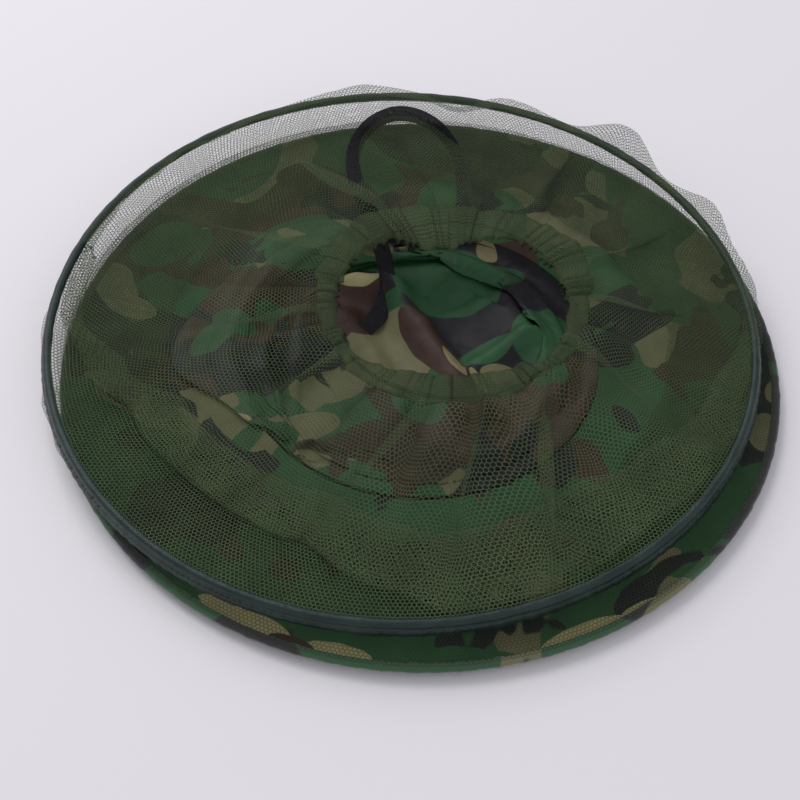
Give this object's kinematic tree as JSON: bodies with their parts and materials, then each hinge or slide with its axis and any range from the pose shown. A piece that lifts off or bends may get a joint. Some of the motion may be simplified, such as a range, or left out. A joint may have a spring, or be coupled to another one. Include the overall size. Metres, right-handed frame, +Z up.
{
  "type": "beekeeping veil",
  "caption": "Collapsible camouflage sun hat with a net veil, folded flat upside down: spring-hoop brim, second veil hoop, gathered neck opening and ribbon chin strap.",
  "frame": {"origin": "centre of the crown panel, on the table it rests on", "axes": "the hat lies upside down: +Z up out of the neck opening, +X to the pictured right, +Y away from the camera"},
  "size_m": [0.3895, 0.3916, 0.042],
  "materials": {
    "crown_cloth": "thin satin-faced polyester in a woodland pattern of green, brown, khaki and charcoal",
    "brim_cloth": "plain-woven polyester in the same woodland pattern, less shiny than the crown",
    "binding_tape": "narrow dark green woven tape, stitched",
    "sweatband_tape": "soft dark green twill tape",
    "net": "knitted olive green hexagonal netting, about 2 mm openings",
    "net_hem": "the same netting rolled into a gathered hem",
    "hoop_tape": "dark teal-green satin tape with a soft shine",
    "ribbon": "narrow black woven ribbon, slightly sheer",
    "elastic": "thin covered elastic cord",
    "spring_steel": "drawn spring steel wire",
    "ferrule_metal": "crimped steel sleeve"
  },
  "bodies": {
    "crown": {"crown_top": "crown_cloth"},
    "brim": {"crown_side": "crown_cloth", "sweatband": "sweatband_tape", "brim_upper_cloth": "brim_cloth", "brim_under_cloth": "brim_cloth", "brim_binding": "binding_tape", "brim_hoop_wire": "spring_steel", "brim_hoop_ferrule": "ferrule_metal", "chin_strap": "ribbon", "chin_strap_back_tab": "ribbon", "chin_strap_side_tab": "ribbon"},
    "veil_hoop": {"lower_veil": "net", "veil_hoop_casing": "hoop_tape", "veil_hoop_wire": "spring_steel", "veil_hoop_ferrule": "ferrule_metal"},
    "neck": {"upper_veil": "net", "neck_hem": "net_hem", "neck_elastic": "elastic"}
  },
  "joints": [
    {"name": "crown_rise", "type": "slide", "parent": "crown", "child": "brim", "axis": [0, 0, 1], "range_m": [0, 0.078], "deforming": ["crown_side"]},
    {"name": "veil_lift", "type": "slide", "parent": "brim", "child": "veil_hoop", "axis": [0, 0, 1], "range_m": [0, 0.13], "deforming": ["lower_veil"]},
    {"name": "neck_lift", "type": "slide", "parent": "veil_hoop", "child": "neck", "axis": [0, 0, 1], "range_m": [0, 0.12], "deforming": ["upper_veil"]}
  ]
}
